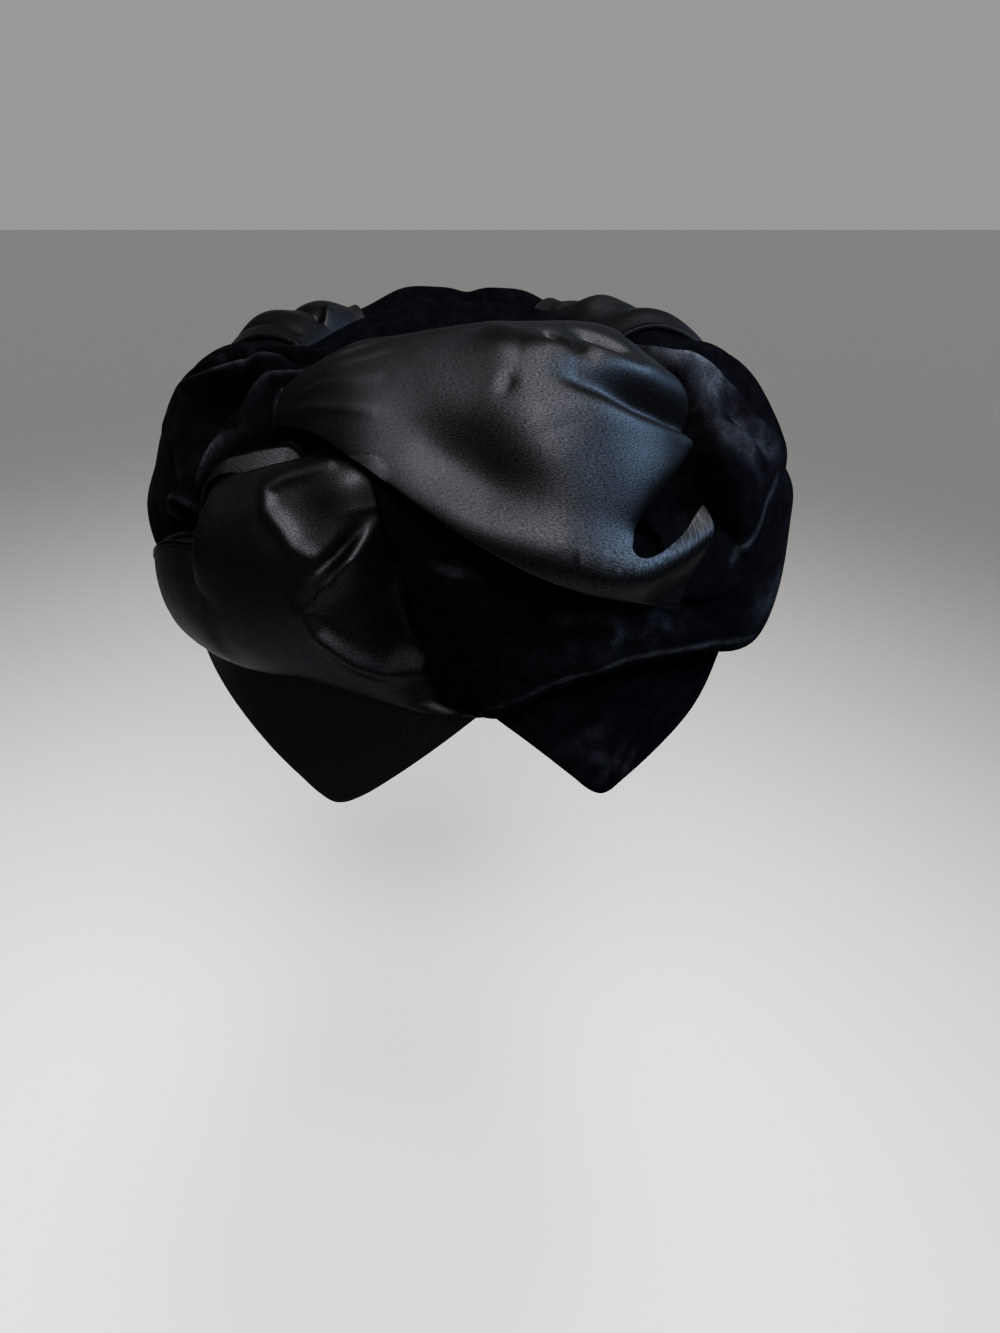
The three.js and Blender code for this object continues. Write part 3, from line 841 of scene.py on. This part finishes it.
# Painted sheen: a broad lit patch at the top and strokes along the folds. Columns: strength, spread,
# line.
RIGHT_LIT_PILE = [
    (0.85, 7.0, [(35.5, 80), (40.5, 69), (41.8, 59), (39, 50)]),
    (0.35, 3.0, [(43.8, 48), (45.2, 40), (52, 30), (56.5, 24)]),
    (0.3, 3.0, [(35.8, 41), (43.8, 32), (45.2, 24)]),
    (0.5, 0.6, [(54, 20), (47.2, 14), (43.2, 8), (40.5, 4), (37.5, 1)]),
]
along, across = shares_of(160, np.linspace(0, 1, 90))
azimuth, turn, stand = band_places(VELVET_SIDE_RIGHT_SECTIONS, along, across)
folds = ridges(azimuth, turn, RIGHT_FOLDS)
folds += creases(azimuth, turn, rise=0.3, grain=14, seed=5.0)
stand = stand + folds * hold_edges(along, across)
painted_sheen = painted_velvet_sheen(azimuth, turn, folds, RIGHT_LIT_PILE)
show_band("velvet_side_right", (azimuth, turn, stand), (along, across), VELVET_CLOTH, painted_sheen)

# Satin rolls at the back
# One slanted puff of satin behind each side, laid over the velvet ends next to it in soft pleats.
# The left one has a small fold that stands open at its top. Azimuths here are from a roll's middle.

# Columns: azimuth, lean, turns of the low and the high edge, their stands, puff between them.
BACK_SATIN_SECTIONS = [
    (-23, 16, -30, 110, 1, 1.2, 1.4),
    (-14, 16, -31, 112, 0, 1.8, 5),
    (0, 16, -31, 113, -2.1, 1.6, 7),
    (14, 16, -31, 112, 0, 1.8, 5),
    (23, 16, -30, 110, 1, 1.2, 1.4),
]
# Columns: rise, spread, shares of the rise at the start and the end of the line, line.
BACK_SATIN_FOLDS = [
    (2, 8, 0.3, 0.3, [(-16, -10), (-6, 104)]),
    (-3, 4, 0.3, 0.3, [(-6, -10), (3, 96)]),
    (2, 8, 0.3, 0.3, [(5, -10), (14, 104)]),
    (-2.5, 3, 0.3, 0.3, [(14, 30), (16, 70), (22, 100)]),
]
BACK_SATIN_AZIMUTH = 131
BACK_SATIN_SEED = 6.0
OPEN_FOLD = [(-3, 92), (-1, 98), (5, 105)]
OPEN_FOLD_HOLLOW = (-2, 3, 0.3, 0.3, [(1, 96), (7, 102)])
for name, middle in (("satin_back_right", BACK_SATIN_AZIMUTH), ("satin_back_left", -BACK_SATIN_AZIMUTH)):
    along, across = shares_of(150, np.linspace(0, 1, 150))
    azimuth, turn, stand = band_places(BACK_SATIN_SECTIONS, along, across)
    folds = ridges(azimuth, turn, BACK_SATIN_FOLDS)
    if name == "satin_back_left":
        folds += lap(azimuth, turn, rise=2.4, reach=14, points=OPEN_FOLD)
        folds += ridge(azimuth, turn, *OPEN_FOLD_HOLLOW)
    folds += creases(azimuth, turn, rise=0.5, grain=14, seed=BACK_SATIN_SEED + middle)
    stand = stand + folds * hold_edges(along, across)
    show_band(name, (azimuth + middle, turn, stand), (along, across), SATIN_CLOTH)

# Satin drape
# The big loop of satin across the front. Its left end is gathered over the wing and the left folds.
# Its right end stands open as a scoop, with an upper lobe folded over it and a rolled lip below.

# Columns: azimuth, lean, turns of the low and the high edge, their stands, puff between them.
SATIN_DRAPE_SECTIONS = [
    (-24, 0, 45, 57, 2.4, 3.2, 0.4),
    (-20.5, 0, 44, 64, 3.8, 4.4, 0.8),
    (-15.5, 0, 41, 76, 6.8, 5, 1.4),
    (-8, 0, 31.5, 98, 9.6, 3.4, 2),
    (1, 0, 18, 122, 11.6, 1.4, 3.4),
    (9, 0, 8, 126, 13, 0.6, 4.4),
    (17, 0, 1.5, 124, 13.4, 1.2, 5),
    (23.5, 0, -2, 114, 13, 2.6, 5),
    (28.5, 0, -3, 100, 12, 4, 3.5),
    (34, 0, -3, 92, 11, 5, 2.5),
]
# The hem of the right end, from the low corner round the lip and the scoop to the top.
# Columns: share across, azimuth, turn.
DRAPE_HEM = [
    (0.000, 24.8, -3),
    (0.012, 25.8, 2),
    (0.024, 27, 6),
    (0.034, 27.4, 9.5),
    (0.041, 27.7, 13),
    (0.047, 28, 17),
    (0.050, 28.2, 20),
    (0.053, 26.6, 18.2),
    (0.057, 24.6, 15),
    (0.062, 22, 12.2),
    (0.067, 19.9, 11),
    (0.072, 18.5, 11.4),
    (0.079, 17.9, 13),
    (0.100, 18.3, 15),
    (0.130, 19.0, 17.5),
    (0.190, 21.4, 22.5),
    (0.240, 24, 26.5),
    (0.280, 26.6, 29.5),
    (0.330, 29.6, 33.2),
    (0.365, 31.2, 35.6),
    (0.375, 30.8, 38.2),
    (0.410, 31.2, 41.5),
    (0.460, 31.4, 46),
    (0.570, 30.6, 56),
    (0.690, 28.4, 68),
    (1.000, 24, 100),
]
# Columns: first share across, last share across, rows between them.
DRAPE_ROWS = [(0, 0.03, 14), (0.032, 0.06, 28), (0.0615, 0.08, 14), (0.083, 0.2, 34), (0.208, 1, 90)]
HEM_STEPS = 400
LIP_LAST_SHARE = 0.076
LIP_PULL = 14
SCOOP_PULL = 8

to_hem, across = shares_of(200, np.concatenate([np.linspace(*row) for row in DRAPE_ROWS]))
hem_steps = np.linspace(0, 1, HEM_STEPS)
_, hem_azimuth, hem_turn = smooth_rows(DRAPE_HEM, hem_steps).T
hem_share = np.interp(hem_steps, np.linspace(0, 1, len(DRAPE_HEM)), [row[0] for row in DRAPE_HEM])
drape_azimuths = smooth_rows(SATIN_DRAPE_SECTIONS, hem_steps)[:, 0]
row_end = np.interp(np.interp(across, hem_share, hem_azimuth), drape_azimuths, hem_steps)
along = to_hem * row_end
azimuth, turn, stand = band_places(SATIN_DRAPE_SECTIONS, along, across, peak=0.42, softness=0.8)
pull = to_hem ** np.where(across < LIP_LAST_SHARE, LIP_PULL, SCOOP_PULL)
turn = turn + pull * (np.interp(across, hem_share, hem_turn) - turn[-1:])

# Right of a long ridge down its middle the loop bends away in a flat facet, between the lobe and the lip.
DRAPE_RIDGE = [(5, 90), (6, 62), (7.8, 48), (8, 38), (9.5, 32), (10.8, 24), (12.2, 15), (13, 6), (14, -6)]
FACET_TOP = [(9.8, 53), (12.8, 50), (16.8, 47), (21, 43.5), (26, 40.5), (36, 36)]
FACET_BEND = [(23.4, 60), (22, 48), (21, 38), (20, 28), (18.3, 20), (16.6, 13), (15.2, 4)]
LIP = [(12, 7), (16, 6), (19.5, 6.8), (23, 8.6), (26, 11.2), (28.5, 14)]
BEND_SOFTNESS = 1.8
RIDGE_SLOPE = 0.03
BEND_SLOPE = 0.17
LOBE_SLOPE_SHARE = 0.35
FACET_TOP_SOFTNESS = 6
LIP_SPREAD = 5


def beyond(points, azimuth, turn):
    """Distance in mm to the left of a line, with a soft start, and 0 to its right."""
    distance, _ = nearest_on_line(points, azimuth, turn)
    return BEND_SOFTNESS * np.logaddexp(0, distance / BEND_SOFTNESS)


fall = RIDGE_SLOPE * beyond(DRAPE_RIDGE, azimuth, turn) + BEND_SLOPE * beyond(FACET_BEND, azimuth, turn)
on_facet = 1 - (1 - LOBE_SLOPE_SHARE) * left_of(FACET_TOP, azimuth, turn, FACET_TOP_SOFTNESS)
from_lip, _ = nearest_on_line(LIP, azimuth, turn)
above_lip = left_of(LIP, azimuth, turn, LIP_SPREAD) * (1 - np.exp(-((from_lip / LIP_SPREAD) ** 2)))

# The crease under the lobe starts beside the ridge, and the hem of the scoop and the lobe curls in.
CREASE_START = 8
CREASE_FULL = 14
HEM_CURL = 1.4
HEM_CURL_REACH = 1.5
HEM_CURL_START = 0.08
HEM_CURL_FULL = 0.14
crease = lap(azimuth, turn, rise=-6, reach=12, points=FACET_TOP, softness=1.8, end=0.8)
from_hem = (azimuth[-1:] - azimuth) * MM_PER_AZIMUTH
curl = np.exp(-from_hem / HEM_CURL_REACH) * run_between(across, HEM_CURL_START, HEM_CURL_FULL)

# Columns: rise, spread, shares of the rise at the start and the end of the line, line.
DRAPE_FOLDS = [
    (2, 8, 0, 0, DRAPE_RIDGE),
    (3.5, 5.5, 0, 0.8, [(8, 63), (14, 59.5), (20, 55), (26, 50), (32, 46)]),
    (3, 5.5, 0.1, 1.7, LIP),
    (-2, 3, 0.2, 0.8, [(10, 3), (15, 0.5), (20, 0.5), (24, 3.5), (27, 6.5)]),
    (-3.4, 2.4, 0.3, 0.3, [(16, 71), (19, 65), (22.5, 59)]),
    (-2.6, 2.0, 0.3, 0.3, [(11.5, 71), (13.5, 65), (16, 59)]),
    (1.2, 5, 0.8, 0.8, [(7, 63), (12, 62)]),
    (2.4, 5.5, 0.1, 0.5, [(-6, 40), (-2, 29), (3, 20), (8, 14), (14, 9.5), (18, 8)]),
]
# Columns: rise, middle, half length, half width, slope.
DRAPE_OVALS = [
    (2.8, (15.5, 48), 10, 8, -19),
    (-0.9, (6.2, 52), 1.9, 1.5, 60),
    (-5.8, (0.5, 32), 17, 10, -28),
    (0.9, (-10, 47), 12, 7, -60),
]
# The gathers at the left end fan out along it. Columns: azimuth, middle turn, spread of the fan.
GATHER_FAN = [(-24, 51, 12), (-17, 60, 38), (-9, 66, 62)]
GATHERS = 6
LOWEST_GATHER = -0.3

folds = ridges(azimuth, turn, DRAPE_FOLDS)
folds += sum(oval(azimuth, turn, *row) for row in DRAPE_OVALS)
folds -= on_facet * above_lip * fall
folds += crease * run_between(azimuth, CREASE_START, CREASE_FULL)
folds -= HEM_CURL * curl
for gather in range(GATHERS):
    share = LOWEST_GATHER + gather / GATHERS
    line = [(place, middle + share * spread) for place, middle, spread in GATHER_FAN]
    folds += ridge(azimuth, turn, rise=0.7, spread=1.4, start=0.3, end=0.3, points=line)
folds += creases(azimuth, turn, rise=0.35, grain=22, seed=7.0)
folds += creases(azimuth, turn, rise=0.10, grain=6, seed=7.5)
stand = stand + folds * hold_edges(along, across, first=0.02, last=0, side=0)
show_band("satin_drape", (azimuth, turn, stand), (along, across), SATIN_CLOTH)

# Floor and light
# A plain pale floor well below the hat, in an even grey room.
# Soft light falls from a broad window in front, a ceiling lamp and cool daylight at the right.
FLOOR_HEIGHT = -0.27
FLOOR_HALF = 30.0
FLOOR_COLOUR = (0.62, 0.605, 0.58, 1)
ROOM_COLOUR = (0.84, 0.84, 0.84, 1)
ROOM_STRENGTH = 0.42
LAMP_SPREAD = 40
# Columns: name, place, aim, size, power, colour.
LAMPS = [
    ("window in front", (0.14, -0.82, 0.85), (0, -0.06, 0.05), 0.8, 6.0, (1.0, 0.98, 0.97)),
    ("ceiling lamp", (0.14, -0.10, 1.0), (0, -0.02, 0.05), 0.5, 2.0, (1.0, 0.97, 0.94)),
    ("daylight", (0.85, -0.12, 0.50), (0, -0.04, 0.04), 0.5, 3.4, (0.50, 0.68, 1.0)),
]

bm = bmesh.new()
bmesh.ops.create_grid(bm, x_segments=1, y_segments=1, size=FLOOR_HALF)
bmesh.ops.translate(bm, verts=bm.verts, vec=(0, 0, FLOOR_HEIGHT))
floor_mesh = bpy.data.meshes.new("floor")
bm.to_mesh(floor_mesh)
bm.free()
floor_paint = bpy.data.materials.new("floor")
floor_paint.use_nodes = True
set_inputs(floor_paint.node_tree.nodes["Principled BSDF"], {"Base Color": FLOOR_COLOUR, "Roughness": 0.9})
floor_mesh.materials.append(floor_paint)
floor = bpy.data.objects.new("floor", floor_mesh)
bpy.context.collection.objects.link(floor)

for name, place, aim, size, power, colour in LAMPS:
    lamp_data = bpy.data.lights.new(name, "AREA")
    lamp_data.shape = "DISK"
    lamp_data.size = size
    lamp_data.spread = math.radians(LAMP_SPREAD)
    lamp_data.energy = power
    lamp_data.color = colour
    lamp = bpy.data.objects.new(name, lamp_data)
    lamp.location = place
    lamp.rotation_euler = (Vector(aim) - Vector(place)).to_track_quat("-Z", "Y").to_euler()
    bpy.context.collection.objects.link(lamp)

world = bpy.data.worlds.new("room")
world.use_nodes = True
set_inputs(world.node_tree.nodes["Background"], {"Color": ROOM_COLOUR, "Strength": ROOM_STRENGTH})
bpy.context.scene.world = world
